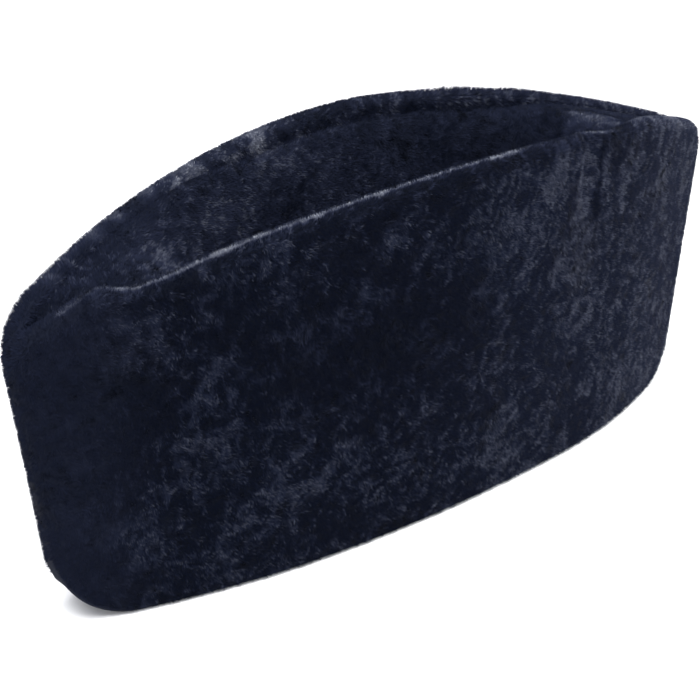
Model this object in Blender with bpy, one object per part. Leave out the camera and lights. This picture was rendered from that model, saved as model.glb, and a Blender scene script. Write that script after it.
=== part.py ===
"""A boat-shaped sheared-fur hat: a tall padded side band and a sunken top panel.

The band is a ring that follows a lens drawn between two parabolas. Its walls lean out from the hem
to the rim, the rim is rolled over, and the hem turns up in a round corner at each end. The crown is a
thin panel that starts a little under the rim, sinks between the walls as a valley and rises at both ends.
Metres, with +X along the hat, -Y the front wall and +Z up.
"""
import bpy
import numpy as np

HEM_HALF_LENGTH = 0.1495
RIM_HALF_LENGTH = 0.1570
HEM_HALF_WIDTH = 0.0310
RIM_FRONT_WIDTH = 0.0430
RIM_BACK_WIDTH = 0.0377
WALL_BULGE = 0.0016
TIP_ROUND = 0.0080
WALL_THICKNESS = 0.0075

MID_HEIGHT = 0.1345
END_HEIGHT = 0.1053
RIM_LEAN = 0.0036
RIM_POWER = 1.98
HEM_CORNER = 0.0240
RIM_CORNER = 0.0145
HEM_EDGE = 0.0014

FRONT_DROP = 0.0029
HUMP_HEIGHT = 0.0031
HUMP_PLACE = -0.1335
HUMP_SPREAD = 0.0060
DIP_DEPTH = 0.0016
DIP_PLACE = -0.1150
DIP_SPREAD = 0.0120
NOTCH_DEPTH = 0.0006
NOTCH_PLACE = 0.0600
NOTCH_SPREAD = 0.0070
BACK_RISE = 0.0018

DENT_PLACE = 0.0440
DENT_DEPTH = 0.0045
DENT_LENGTH = 0.0300
DENT_STEEP = 0.0030
DENT_EASY = 0.0100
HOLLOW_PLACE = 0.0620
HOLLOW_HEIGHT = 0.1200
HOLLOW_DEPTH = 0.0014
HOLLOW_SPREAD = 0.0120
FULL_RIGHT = 0.0024
FULL_RIGHT_PLACE = 0.0800
FULL_LEFT = 0.0012
FULL_LEFT_PLACE = -0.0850
FULL_SPREAD = 0.0420
FULL_HEIGHT = 0.0700

CROWN_GAP = 0.0003
CROWN_THICKNESS = 0.0050
CROWN_HALF_LENGTH = 0.1455
CREASE_DEPTH = 0.0060
FRONT_CREASE = 0.0030
LEFT_CREASE = 0.0016
RIGHT_CREASE = 0.0030
VALLEY_DEPTH = 0.0520
VALLEY_LEFT_TOP = -0.1230
VALLEY_LEFT_FLOOR = -0.0450
VALLEY_RIGHT_FLOOR = 0.0280
VALLEY_RIGHT_TOP = 0.0800
SADDLE_RISE = 0.0004
SHOULDER_POWER = 1.25
STEEPEST_SLOPE = 2.4

SIDE_STATIONS = 48
TIP_STATIONS = 4
WALL_ROWS = 9
RIM_ROWS = 6
INNER_ROWS = 6
CROWN_COLUMNS = 44
CROWN_ROWS = 16

FRONT, BACK = -1.0, 1.0
TOP_LEVEL = 1.0 - 0.5 * WALL_THICKNESS / MID_HEIGHT
INNER_FACE = TIP_ROUND - WALL_THICKNESS
MID_Y = 0.5 * (RIM_FRONT_WIDTH - RIM_BACK_WIDTH) * TOP_LEVEL


def clear_scene():
    for thing in list(bpy.data.objects):
        bpy.data.objects.remove(thing, do_unlink=True)


def fur_material(name, colour, roughness):
    """A dark pelt: not a metal, and rough enough to give no mirror-like spot."""
    material = bpy.data.materials.new(name)
    material.use_nodes = True
    shader = material.node_tree.nodes["Principled BSDF"]
    shader.inputs["Base Color"].default_value = (*colour, 1.0)
    shader.inputs["Roughness"].default_value = roughness
    shader.inputs["Metallic"].default_value = 0.0
    return material


def ease(value, start, end):
    """0 before start, 1 after end, and a smooth S between them."""
    t = np.clip((value - start) / (end - start), 0.0, 1.0)
    return t * t * (3.0 - 2.0 * t)


def bell(value, middle, spread):
    return np.exp(-(((value - middle) / spread) ** 2))


def corner_rise(from_end, radius):
    """How far a round corner of this radius pulls an edge in, at a distance from the end."""
    left = radius - np.clip(from_end, 0.0, radius)
    return radius - np.sqrt(radius**2 - left**2)


def rim_height(x, side):
    """Height of the rim: highest in the middle, and lower in front than in the back.

    The front rim has a hump and a dip near its left end and a small notch at the dent, and it comes up
    to the back one's height beyond the dent. The back rim rises a little more along its left half.
    """
    along = np.clip(x / RIM_HALF_LENGTH, -1.0, 1.0)
    arch = (MID_HEIGHT - END_HEIGHT) * (1.0 - np.abs(along) ** RIM_POWER)
    height = END_HEIGHT + arch + RIM_LEAN * along
    drop = FRONT_DROP * ease(x, -0.1565, -0.1465) * (1.0 - ease(x, 0.066, 0.090))
    hump = HUMP_HEIGHT * bell(x, HUMP_PLACE, HUMP_SPREAD)
    dip = DIP_DEPTH * bell(x, DIP_PLACE, DIP_SPREAD) + NOTCH_DEPTH * bell(x, NOTCH_PLACE, NOTCH_SPREAD)
    rise = BACK_RISE * ease(x, -0.140, -0.105) * (1.0 - ease(x, -0.005, 0.045))
    return height + np.where(side < 0.0, hump - dip - drop, rise)


def lens(level, side):
    """Half length and half width of the wall's inmost line at a level from 0 at the hem to 1 at the rim."""
    rim_width = np.where(side < 0.0, RIM_FRONT_WIDTH, RIM_BACK_WIDTH)
    bulge = WALL_BULGE * 4.0 * level * (1.0 - level)
    half_length = HEM_HALF_LENGTH + (RIM_HALF_LENGTH - HEM_HALF_LENGTH) * level
    half_width = HEM_HALF_WIDTH + (rim_width - HEM_HALF_WIDTH) * level + bulge
    return half_length - TIP_ROUND, half_width - TIP_ROUND


def dent(x, z):
    """How far the front face is pressed in: one upright fold under the rim and a soft hollow beside it."""
    spread = np.where(x < DENT_PLACE, DENT_STEEP, DENT_EASY)
    fade = ease(z, rim_height(x, FRONT) - DENT_LENGTH, rim_height(x, FRONT) - 0.3 * DENT_LENGTH)
    fold = DENT_DEPTH * bell(x, DENT_PLACE, spread) * fade
    hollow = HOLLOW_DEPTH * bell(x, HOLLOW_PLACE, HOLLOW_SPREAD) * bell(z, HOLLOW_HEIGHT, HOLLOW_SPREAD)
    return fold + hollow


def fullness(x, z):
    """How far the front face swells out above the hem, most towards the right end."""
    right = FULL_RIGHT * bell(x, FULL_RIGHT_PLACE, FULL_SPREAD)
    left = FULL_LEFT * bell(x, FULL_LEFT_PLACE, FULL_SPREAD)
    return (right + left) * (1.0 - ease(z, 0.0, FULL_HEIGHT))


def crease_depth(x, side):
    """How far under the rim the crown is sewn in: deepest in the middle of the back, flush at its left."""
    depth = CREASE_DEPTH + (RIGHT_CREASE - CREASE_DEPTH) * ease(x, 0.058, 0.090)
    flush = 1.0 - ease(x, -0.085, -0.045)
    return np.where(side < 0.0, FRONT_CREASE, depth + (LEFT_CREASE - CREASE_DEPTH) * flush)


def stations():
    """Side, place along the parabola and turn round the tip, for each station round the ring."""
    along = np.sin(np.linspace(-1.0, 1.0, SIDE_STATIONS + 1) * 0.5 * np.pi)
    turn = np.linspace(0.0, 1.0, TIP_STATIONS + 1)[1:-1]
    one_side = [(u, 0.0) for u in along]
    before = [(-1.0, -t) for t in turn[::-1]]
    after = [(1.0, t) for t in turn]
    front = [(FRONT, -1.0, -1.0)] + [(FRONT, u, t) for u, t in before + one_side + after]
    back = [(BACK, 1.0, 1.0)] + [(BACK, u, t) for u, t in (before + one_side + after)[::-1]]
    return np.array(front + back).T


def ring_row(level, outward, hem_lift=0.0):
    """One closed row of points at a level and an offset from the wall's inmost line.

    Each point is the parabola's own point, moved outward along its normal. Round the tip only the
    normal turns. Its height lies between the hem and the rim, both drawn in by their round corners.
    """
    side, u, turn = stations()
    half_length, half_width = lens(level, side)
    slope = 2.0 * half_width / half_length
    normal = np.arctan(slope * u) + turn * (0.5 * np.pi - np.arctan(slope))
    x = half_length * u + outward * np.sin(normal)
    y = side * (half_width * (1.0 - u**2) + outward * np.cos(normal))
    from_end = half_length + TIP_ROUND - np.abs(x)
    low = corner_rise(from_end, HEM_CORNER) + hem_lift
    top = rim_height(x, side) - corner_rise(from_end, RIM_CORNER)
    z = low + (top - low) * level
    through = (outward - INNER_FACE) / WALL_THICKNESS
    y = y + np.where(side < 0.0, (dent(x, z) - fullness(x, z)) * through, 0.0)
    return np.stack([x, y + MID_Y, z], axis=1)


def grid_mesh(name, points, faces, material):
    mesh = bpy.data.meshes.new(name)
    mesh.from_pydata(points.tolist(), [], faces)
    mesh.materials.append(material)
    mesh.shade_smooth()
    mesh.set_sharp_from_angle(angle=np.radians(50.0))
    thing = bpy.data.objects.new(name, mesh)
    bpy.context.scene.collection.objects.link(thing)
    return thing


def band(material):
    """The side band: rows up the outer face, over the rolled rim, down inside and under the hem."""
    roll = 0.5 * WALL_THICKNESS
    rows = []
    for level in np.linspace(0.0, TOP_LEVEL, WALL_ROWS + 1):
        rows.append(ring_row(level, TIP_ROUND, HEM_EDGE * (1.0 - level)))
    for angle in np.linspace(0.0, np.pi, RIM_ROWS + 1)[1:-1]:
        drop = roll * (1.0 - np.sin(angle))
        rows.append(ring_row(1.0 - drop / MID_HEIGHT, INNER_FACE + roll * (1.0 + np.cos(angle))))
    for level in np.linspace(TOP_LEVEL, 0.0, INNER_ROWS + 1):
        rows.append(ring_row(level, INNER_FACE, HEM_EDGE * (1.0 - level)))
    rows.append(ring_row(0.0, INNER_FACE + HEM_EDGE))
    rows.append(ring_row(0.0, TIP_ROUND - HEM_EDGE))
    points = np.concatenate(rows)
    count, around = len(rows), len(rows[0])
    faces = []
    for row in range(count):
        for place in range(around):
            right = (place + 1) % around
            above = (row + 1) % count
            faces.append((row * around + place, row * around + right, above * around + right,
                          above * around + place))
    return grid_mesh("band", points, faces, material)


def inner_face(x, z, side):
    """Where the band's inner face lies across the hat, at a place along it and a height."""
    level = np.clip(z / rim_height(x, side), 0.0, 1.0)
    half_length, half_width = lens(level, side)
    slope = 2.0 * half_width * x / half_length**2
    return side * (half_width * (1.0 - (x / half_length) ** 2) + INNER_FACE * np.sqrt(1.0 + slope**2))


def valley_depth(x):
    """How deep the crown's middle line lies under its own edge: a trough with a long slope on the left."""
    fall = ease(x, VALLEY_LEFT_TOP, VALLEY_LEFT_FLOOR)
    rise = ease(x, VALLEY_RIGHT_FLOOR, VALLEY_RIGHT_TOP)
    return VALLEY_DEPTH * fall * (1.0 - rise) - SADDLE_RISE * rise


def crown_sheets():
    """The crown's upper and under sheets as grids of points along and across the hat."""
    along = np.sin(np.linspace(-1.0, 1.0, CROWN_COLUMNS + 1) * 0.5 * np.pi)
    x = (CROWN_HALF_LENGTH * along)[:, None]
    s = np.linspace(-1.0, 1.0, CROWN_ROWS + 1)[None, :]
    front_edge = rim_height(x, FRONT) - crease_depth(x, FRONT)
    back_edge = rim_height(x, BACK) - crease_depth(x, BACK)
    edge = front_edge + (back_edge - front_edge) * 0.5 * (s + 1.0)
    fall = 0.5 * (1.0 + np.cos(np.pi * np.abs(s) ** SHOULDER_POWER))
    top = edge - valley_depth(x) * fall
    sheets = []
    for drop in (0.0, CROWN_THICKNESS):
        front = inner_face(x, front_edge - drop, FRONT) + CROWN_GAP
        back = inner_face(x, back_edge - drop, BACK) - CROWN_GAP
        y = front + (back - front) * 0.5 * (s + 1.0)
        slope = np.abs(np.gradient(top, axis=1) / np.gradient(y, axis=1))
        thick = CROWN_THICKNESS * np.sqrt(1.0 + np.minimum(slope, STEEPEST_SLOPE) ** 2)
        z = top if drop == 0.0 else top - thick
        sheets.append(np.stack([x + 0.0 * y, y + MID_Y, z], axis=2))
    return sheets


def crown(material):
    """The top panel: its two sheets joined along both long edges and at both ends."""
    upper, under = crown_sheets()
    rows, columns = upper.shape[:2]
    points = np.concatenate([upper.reshape(-1, 3), under.reshape(-1, 3)])
    below = rows * columns

    def at(row, column):
        return row * columns + column

    faces = []
    for row in range(rows - 1):
        for column in range(columns - 1):
            quad = (at(row, column), at(row + 1, column), at(row + 1, column + 1), at(row, column + 1))
            faces.append(quad)
            faces.append(tuple(below + corner for corner in quad[::-1]))
        front = (at(row, 0), at(row + 1, 0))
        back = (at(row + 1, columns - 1), at(row, columns - 1))
        for first, second in (front, back):
            faces.append((second, first, below + first, below + second))
    for column in range(columns - 1):
        left = (at(0, column + 1), at(0, column))
        right = (at(rows - 1, column), at(rows - 1, column + 1))
        for first, second in (left, right):
            faces.append((second, first, below + first, below + second))
    return grid_mesh("crown", points, faces, material)


clear_scene()
band(fur_material("black sheared fur", (0.011, 0.013, 0.022), 0.9))
crown(fur_material("black sheared fur of the crown", (0.010, 0.012, 0.020), 0.9))
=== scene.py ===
# %% [markdown]
# # A boat-shaped hat of sheared black fur
#
# This hat is a tall ring of pelt that lies flat when nobody wears it. Its two walls meet in a round
# fold at each end, and its top panel sinks between them as a valley. The look is nearly all fur, so
# the lesson builds two smooth pelts first and then plants short locks on them.
#
# Every size is in metres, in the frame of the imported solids, with +X along the hat, -Y the front wall
# and +Z up.

import bpy
import numpy as np
from mathutils import Matrix, Vector


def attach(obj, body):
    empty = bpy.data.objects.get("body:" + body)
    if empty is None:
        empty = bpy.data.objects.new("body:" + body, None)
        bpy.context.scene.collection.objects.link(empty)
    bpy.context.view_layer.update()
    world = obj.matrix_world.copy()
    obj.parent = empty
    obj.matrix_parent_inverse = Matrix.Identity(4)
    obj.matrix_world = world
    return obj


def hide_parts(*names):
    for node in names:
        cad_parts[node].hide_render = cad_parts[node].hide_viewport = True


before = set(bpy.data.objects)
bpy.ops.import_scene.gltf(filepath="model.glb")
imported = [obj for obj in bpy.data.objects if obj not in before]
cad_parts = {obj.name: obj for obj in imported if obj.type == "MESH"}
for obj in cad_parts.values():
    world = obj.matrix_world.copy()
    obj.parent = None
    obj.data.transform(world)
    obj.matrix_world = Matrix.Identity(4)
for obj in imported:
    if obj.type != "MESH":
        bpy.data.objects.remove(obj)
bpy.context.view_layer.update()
MILLIMETRE = 0.001

# %% [markdown]
# ## Three small curves
#
# Nearly every shape and every shade below is put together from three curves: an S curve that fades
# something in, a bell that puts something at one place, and a quarter circle that rounds a corner.
# They could be drawn by hand as curve objects, but a formula works on a whole array of places at once,
# and the same formula can then drive a shape and the shade that belongs to it.

# %% Curves that everything uses


def ease(value, start, end):
    """0 before start, 1 after end, and the S curve 3t^2 - 2t^3 between them."""
    t = np.clip((value - start) / (end - start), 0.0, 1.0)
    return t * t * (3.0 - 2.0 * t)


def bell(value, middle, spread):
    """The bell curve exp(-((value - middle) / spread)^2)."""
    return np.exp(-(((value - middle) / spread) ** 2))


def corner_rise(from_end, radius):
    """A quarter circle: radius - sqrt(radius^2 - (radius - d)^2) at distance d from the end."""
    left = radius - np.clip(from_end, 0.0, radius)
    return radius - np.sqrt(radius**2 - left**2)


print("ease half way:", ease(0.5, 0.0, 1.0), "and a bell one spread away:", round(float(bell(1, 0, 1)), 3))

# %% [markdown]
# ## The hat's measurements
#
# Seen from above the band is a lens between two parabolas, with the tips rounded by the thickness of
# the folded pelt. It is a little longer and wider at the rim than at the hem. A hatter cuts it by a
# paper pattern. Here a few named sizes are the pattern, so that one changed number changes the pelt,
# the fur and the shade on it together.

# %% Sizes of the two walls
# Half lengths and half widths of the outer face, at the hem and at the rim.
HEM_HALF_LENGTH, RIM_HALF_LENGTH = 0.1495, 0.1570
HEM_HALF_WIDTH, RIM_FRONT_WIDTH, RIM_BACK_WIDTH = 0.0310, 0.0430, 0.0377
# The wall's bulge half way up, the radius of the folded tips, and the thickness of pelt and nap.
WALL_BULGE, TIP_ROUND, WALL_THICKNESS = 0.0016, 0.0080, 0.0075
# The rim's height in the middle and at the ends, its lean to the right, and the power of its arch.
MID_HEIGHT, END_HEIGHT, RIM_LEAN, RIM_POWER = 0.1345, 0.1053, 0.0036, 1.98
# Radii of the round corners at the hem's and the rim's ends, and of the hem's edge.
HEM_CORNER, RIM_CORNER, HEM_EDGE = 0.0240, 0.0145, 0.0014
# The sign of y on each wall.
FRONT, BACK = -1.0, 1.0
# How far the inner face lies from the middle of the fold, and where the rolled rim starts.
INNER_FACE = TIP_ROUND - WALL_THICKNESS
TOP_LEVEL = 1.0 - 0.5 * WALL_THICKNESS / MID_HEIGHT
# The front is wider than the back, and this shift puts the middle of both at y = 0.
MID_Y = 0.5 * (RIM_FRONT_WIDTH - RIM_BACK_WIDTH) * TOP_LEVEL
print("hem", round(2000 * HEM_HALF_LENGTH), "mm long, rim", round(2000 * RIM_HALF_LENGTH), "mm")

# %% [markdown]
# ## The rim
#
# The rim is where the pelt rolls over, and its arch is the line that people know this hat by. Wear
# has pressed the front's rim about 3 mm lower than the back's, and left a small hump and a dip by the
# front's left end and a notch near the right one. Each of them is one bell on top of the arch.

# %% The rim's arch
# How much lower the front's rim lies, and the stretches of x where this fades in and out.
FRONT_DROP, DROP_IN, DROP_OUT = 0.0029, (-0.1565, -0.1465), (0.066, 0.090)
# The same for the back's left half, which stands higher.
BACK_RISE, RISE_IN, RISE_OUT = 0.0018, (-0.140, -0.105), (-0.005, 0.045)
HUMP_HEIGHT, HUMP_PLACE, HUMP_SPREAD = 0.0031, -0.1335, 0.0060
DIP_DEPTH, DIP_PLACE, DIP_SPREAD = 0.0016, -0.1150, 0.0120
NOTCH_DEPTH, NOTCH_PLACE, NOTCH_SPREAD = 0.0006, 0.0600, 0.0070


def rim_height(x, side):
    """The rim's arch, END + (MID - END)(1 - |x/L|^p) + lean x/L, with its drop, bells and rise."""
    along = np.clip(x / RIM_HALF_LENGTH, -1.0, 1.0)
    arch = (MID_HEIGHT - END_HEIGHT) * (1.0 - np.abs(along) ** RIM_POWER)
    height = END_HEIGHT + arch + RIM_LEAN * along
    drop = FRONT_DROP * ease(x, *DROP_IN) * (1.0 - ease(x, *DROP_OUT))
    hump = HUMP_HEIGHT * bell(x, HUMP_PLACE, HUMP_SPREAD)
    dip = DIP_DEPTH * bell(x, DIP_PLACE, DIP_SPREAD) + NOTCH_DEPTH * bell(x, NOTCH_PLACE, NOTCH_SPREAD)
    rise = BACK_RISE * ease(x, *RISE_IN) * (1.0 - ease(x, *RISE_OUT))
    return height + np.where(side < 0.0, hump - dip - drop, rise)


for wall, side in (("front", FRONT), ("back", BACK)):
    print("rim in the middle of the", wall, "wall:", round(1000 * float(rim_height(0, side)), 1), "mm")

# %% [markdown]
# ## The walls between hem and rim
#
# From hem to rim the lens grows and bulges a little. Near the right end one upright fold is pressed
# into the front. It is steep on its left side, with a soft hollow beside it, and fades out downwards.
# Low down, the front swells out where the pelt isn't pulled flat. One could sculpt both. A formula
# that is added to y keeps them in step with the solid.

# %% Wall, dent and swelling
DENT_PLACE, DENT_DEPTH, DENT_LENGTH = 0.0440, 0.0045, 0.0300
# Spreads of the dent's steep left side and its easy right one, and the share that stays full.
DENT_STEEP, DENT_EASY, DENT_FULL = 0.0030, 0.0100, 0.3
HOLLOW_PLACE, HOLLOW_HEIGHT, HOLLOW_DEPTH, HOLLOW_SPREAD = 0.0620, 0.1200, 0.0014, 0.0120
FULL_RIGHT, FULL_RIGHT_PLACE, FULL_LEFT, FULL_LEFT_PLACE = 0.0024, 0.0800, 0.0012, -0.0850
FULL_SPREAD, FULL_HEIGHT = 0.0420, 0.0700


def lens(level, side):
    """Half length and half width of the wall's inmost line, from level 0 at the hem to 1 at the rim."""
    rim_width = np.where(side < 0.0, RIM_FRONT_WIDTH, RIM_BACK_WIDTH)
    bulge = WALL_BULGE * 4.0 * level * (1.0 - level)
    half_length = HEM_HALF_LENGTH + (RIM_HALF_LENGTH - HEM_HALF_LENGTH) * level
    half_width = HEM_HALF_WIDTH + (rim_width - HEM_HALF_WIDTH) * level + bulge
    return half_length - TIP_ROUND, half_width - TIP_ROUND


def dent(x, z):
    """How far the front is pressed in: a bell along x that fades downwards, and a round bell beside it."""
    spread = np.where(x < DENT_PLACE, DENT_STEEP, DENT_EASY)
    top = rim_height(x, FRONT)
    fade = ease(z, top - DENT_LENGTH, top - DENT_FULL * DENT_LENGTH)
    fold = DENT_DEPTH * bell(x, DENT_PLACE, spread) * fade
    hollow = HOLLOW_DEPTH * bell(x, HOLLOW_PLACE, HOLLOW_SPREAD) * bell(z, HOLLOW_HEIGHT, HOLLOW_SPREAD)
    return fold + hollow


def fullness(x, z):
    """How far the front swells out above the hem: two bells along it, fading to 0 at FULL_HEIGHT."""
    right = FULL_RIGHT * bell(x, FULL_RIGHT_PLACE, FULL_SPREAD)
    left = FULL_LEFT * bell(x, FULL_LEFT_PLACE, FULL_SPREAD)
    return (right + left) * (1.0 - ease(z, 0.0, FULL_HEIGHT))


print("the dent is", round(1000 * float(dent(DENT_PLACE, 0.125)), 1), "mm deep near the rim")

# %% [markdown]
# ## The band's pelt
#
# The real band is one strip of sheared pelt, furred outside and over the rim, and plain hide inside.
# It could be a curve with a bevel, but the wall leans, bulges and folds round the tips, so it is
# worked out as a grid: one direction runs round the ring, the other up the outside, over the rolled
# rim, down the inside and under the hem. It lies 0.1 mm inside the solid's face, and the fur stands
# about a millimetre out of it.

# %% Stations round the ring
# Steps along each wall, and steps round each half of a tip.
RING_STATIONS, TIP_STATIONS = 240, 10


def ring_stations():
    """Side, place u on the parabola and turn round the tip, for each station round the ring.

    The places are u = sin(pi s / 2) for even s from -1 to 1, so that they crowd towards the tips.
    """
    along = np.sin(np.linspace(-1.0, 1.0, RING_STATIONS + 1) * 0.5 * np.pi)
    turn = np.linspace(0.0, 1.0, TIP_STATIONS + 1)[1:-1]
    u = np.concatenate([-np.ones(TIP_STATIONS - 1), along, np.ones(TIP_STATIONS - 1)])
    t = np.concatenate([-turn[::-1], np.zeros(RING_STATIONS + 1), turn])
    front = np.stack([np.full(len(u), FRONT), u, t])
    back = np.stack([np.full(len(u), BACK), u[::-1], t[::-1]])
    left_tip, right_tip = np.array([[FRONT, -1.0, -1.0]]).T, np.array([[BACK, 1.0, 1.0]]).T
    return np.concatenate([left_tip, front, right_tip, back], axis=1)


def ring_points(level, outward, hem_lift):
    """Rows of points: (a u, side b (1 - u^2)) + outward (sin n, side cos n), with n the normal's angle.

    The slope of the parabola is 2 b u / a, so n is its arctangent, and round the tip n goes on to 90
    degrees. The height goes from the turned-up hem to the arched rim as the level goes from 0 to 1.
    """
    side, u, turn = (row[None, :] for row in ring_stations())
    level, outward, hem_lift = (np.asarray(v)[:, None] for v in (level, outward, hem_lift))
    half_length, half_width = lens(level, side)
    slope = 2.0 * half_width / half_length
    normal = np.arctan(slope * u) + turn * (0.5 * np.pi - np.arctan(slope))
    x = half_length * u + outward * np.sin(normal)
    y = side * (half_width * (1.0 - u**2) + outward * np.cos(normal))
    from_end = half_length + TIP_ROUND - np.abs(x)
    low = corner_rise(from_end, HEM_CORNER) + hem_lift
    top = rim_height(x, side) - corner_rise(from_end, RIM_CORNER)
    z = low + (top - low) * level
    through = (outward - INNER_FACE) / WALL_THICKNESS
    y = y + np.where(side < 0.0, (dent(x, z) - fullness(x, z)) * through, 0.0)
    return np.stack([x, y + MID_Y, z], axis=2)


print("stations round the ring:", ring_stations().shape[1])

# %% The band as a grid
# Rows of faces up the outside, over the rim and down the inside.
WALL_ROWS, RIM_ROWS, INNER_ROWS = 34, 10, 8
PELT_DEPTH = 0.1 * MILLIMETRE


def band_rows(outer):
    """Level, offset and lift of each row: outer wall, half circle of the rim, inner wall, hem.

    On the rim, at an angle from 0 to 180 degrees, the offset is middle + roll cos(angle) and the row
    lies roll (1 - sin(angle)) under the top.
    """
    roll = 0.5 * (outer - INNER_FACE)
    middle = INNER_FACE + roll
    sunk = TIP_ROUND - outer
    up, down = np.linspace(0.0, TOP_LEVEL, WALL_ROWS + 1), np.linspace(TOP_LEVEL, 0.0, INNER_ROWS + 1)
    angle = np.linspace(0.0, np.pi, RIM_ROWS + 1)[1:-1]
    drop = roll * (1.0 - np.sin(angle)) + sunk
    level = np.concatenate([up * (1.0 - sunk / MID_HEIGHT), 1.0 - drop / MID_HEIGHT, down, [0.0, 0.0]])
    offset = np.concatenate([np.full(len(up), outer), middle + roll * np.cos(angle),
                             np.full(len(down), INNER_FACE), [INNER_FACE + HEM_EDGE, outer - HEM_EDGE]])
    lift = np.concatenate([HEM_EDGE * (1.0 - up), np.zeros(len(angle)),
                           HEM_EDGE * (1.0 - down), [0.0, 0.0]])
    return level, offset, lift


def new_piece(name, data):
    """An object for a mesh, lamp or camera, at the origin and in the scene."""
    piece = bpy.data.objects.new(name, data)
    bpy.context.scene.collection.objects.link(piece)
    return piece


def smooth_piece(name, points, faces):
    """A smoothly shaded piece from a grid of points and rows of four corner numbers."""
    mesh = bpy.data.meshes.new(name)
    mesh.from_pydata(points.reshape(-1, 3).tolist(), [], faces.tolist())
    mesh.shade_smooth()
    return new_piece(name, mesh)


def closed_grid(rows, columns):
    """Faces of a grid that closes on itself both ways: point (r, c) has the number r columns + c."""
    row, column = np.meshgrid(np.arange(rows), np.arange(columns), indexing="ij")
    right, above = (column + 1) % columns, (row + 1) % rows
    corners = [row * columns + column, row * columns + right]
    corners += [above * columns + right, above * columns + column]
    return np.stack(corners, axis=2).reshape(-1, 4)


band_grid = ring_points(*band_rows(TIP_ROUND - PELT_DEPTH))
band_pelt = smooth_piece("band_pelt", band_grid, closed_grid(*band_grid.shape[:2]))
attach(band_pelt, "root")
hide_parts("band")
print("band pelt:", len(band_pelt.data.polygons), "faces")

# %% [markdown]
# ## The crown's pelt
#
# The top panel is sewn in along a crease, 3 mm under the rim in front and 6 mm in the back. From there
# it rolls over a soft shoulder into a valley, which climbs slowly at the left end and steeply at the
# right, where it ends in a rounded saddle. A cloth pinned along the crease could be left to sag into
# such a valley, but its depth would be hard to steer. As the panel never folds back over itself, its
# height can be a function of the place below it, and two sheets, an upper and an under one, close it.

# %% Where the crown is sewn in
# The gap that stands for the seam, the panel's thickness and half its length.
CROWN_GAP, CROWN_THICKNESS, CROWN_HALF_LENGTH = 0.0003, 0.0050, 0.1455
# Depth under the rim: the middle of the back, the whole front, and the back's left and right ends.
CREASE_DEPTH, FRONT_CREASE, LEFT_CREASE, RIGHT_CREASE = 0.0060, 0.0030, 0.0016, 0.0030
# Stretches of x where the crease comes up towards the rim at the right and left ends of the back.
RIGHT_CREASE_RISE, LEFT_CREASE_FALL = (0.058, 0.090), (-0.085, -0.045)


def crease_depth(x, side):
    """How far under the rim the crown is sewn in: deepest in the middle of the back, flush at its left."""
    depth = CREASE_DEPTH + (RIGHT_CREASE - CREASE_DEPTH) * ease(x, *RIGHT_CREASE_RISE)
    flush = 1.0 - ease(x, *LEFT_CREASE_FALL)
    return np.where(side < 0.0, FRONT_CREASE, depth + (LEFT_CREASE - CREASE_DEPTH) * flush)


def inner_face(x, z, side):
    """The band's inner face: the parabola b (1 - (x/a)^2) at this height, and its offset."""
    half_length, half_width = lens(np.clip(z / rim_height(x, side), 0.0, 1.0), side)
    slope = 2.0 * half_width * x / half_length**2
    return side * (half_width * (1.0 - (x / half_length) ** 2) + INNER_FACE * np.sqrt(1.0 + slope**2))


for wall, side in (("front", FRONT), ("back", BACK)):
    print("crease under the rim of the", wall, "wall:", round(1000 * float(crease_depth(0, side)), 1), "mm")

# %% The crown as two sheets
CROWN_COLUMNS, CROWN_ROWS = 100, 40
CROWN_PELT_DEPTH = 1.0 * MILLIMETRE
# How deep the valley is, how high the saddle stands, and how soon the shoulder falls away.
VALLEY_DEPTH, SADDLE_RISE, SHOULDER_POWER = 0.0520, 0.0004, 1.25
# Stretches of x where the valley falls at the left and rises at the right.
VALLEY_FALL, VALLEY_RISE = (-0.1230, -0.0450), (0.0280, 0.0800)
# On a steep side the sheets part further in z, to keep the thickness, up to this slope.
STEEPEST_SLOPE = 2.4


def valley_depth(x):
    """Depth of the middle line under the crown's edge: a trough between two S curves, and the saddle."""
    fall = ease(x, *VALLEY_FALL)
    rise = ease(x, *VALLEY_RISE)
    return VALLEY_DEPTH * fall * (1.0 - rise) - SADDLE_RISE * rise


def crown_sheet(drop, sunk):
    """Points of one sheet: z = edge - depth (1 + cos(pi |s|^p)) / 2, with s from -1 to 1 across.

    A sheet that lies d lower is moved down by d sqrt(1 + slope^2), which keeps the panel's thickness.
    """
    along = np.sin(np.linspace(-1.0, 1.0, CROWN_COLUMNS + 1) * 0.5 * np.pi)
    x = (CROWN_HALF_LENGTH * along)[:, None]
    s = np.linspace(-1.0, 1.0, CROWN_ROWS + 1)[None, :]
    front_edge, back_edge = (rim_height(x, side) - crease_depth(x, side) for side in (FRONT, BACK))
    edge = front_edge + (back_edge - front_edge) * 0.5 * (s + 1.0)
    top = edge - valley_depth(x) * 0.5 * (1.0 + np.cos(np.pi * np.abs(s) ** SHOULDER_POWER))
    front = inner_face(x, front_edge - drop, FRONT) + CROWN_GAP
    back = inner_face(x, back_edge - drop, BACK) - CROWN_GAP
    y = front + (back - front) * 0.5 * (s + 1.0)
    slope = np.abs(np.gradient(top, axis=1) / np.gradient(y, axis=1))
    steep = np.sqrt(1.0 + np.minimum(slope, STEEPEST_SLOPE) ** 2)
    return np.stack([x + 0.0 * y, y + MID_Y, top - (drop + sunk) * steep], axis=2)


upper = crown_sheet(0.0, CROWN_PELT_DEPTH)
under = crown_sheet(CROWN_THICKNESS, 0.0)
crown_grid = np.concatenate([upper, under[:, ::-1]], axis=1).transpose(1, 0, 2)
print("lowest place of the valley:", round(1000 * float(upper[:, :, 2].min())), "mm above the floor")

# %% The crown's mesh


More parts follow.
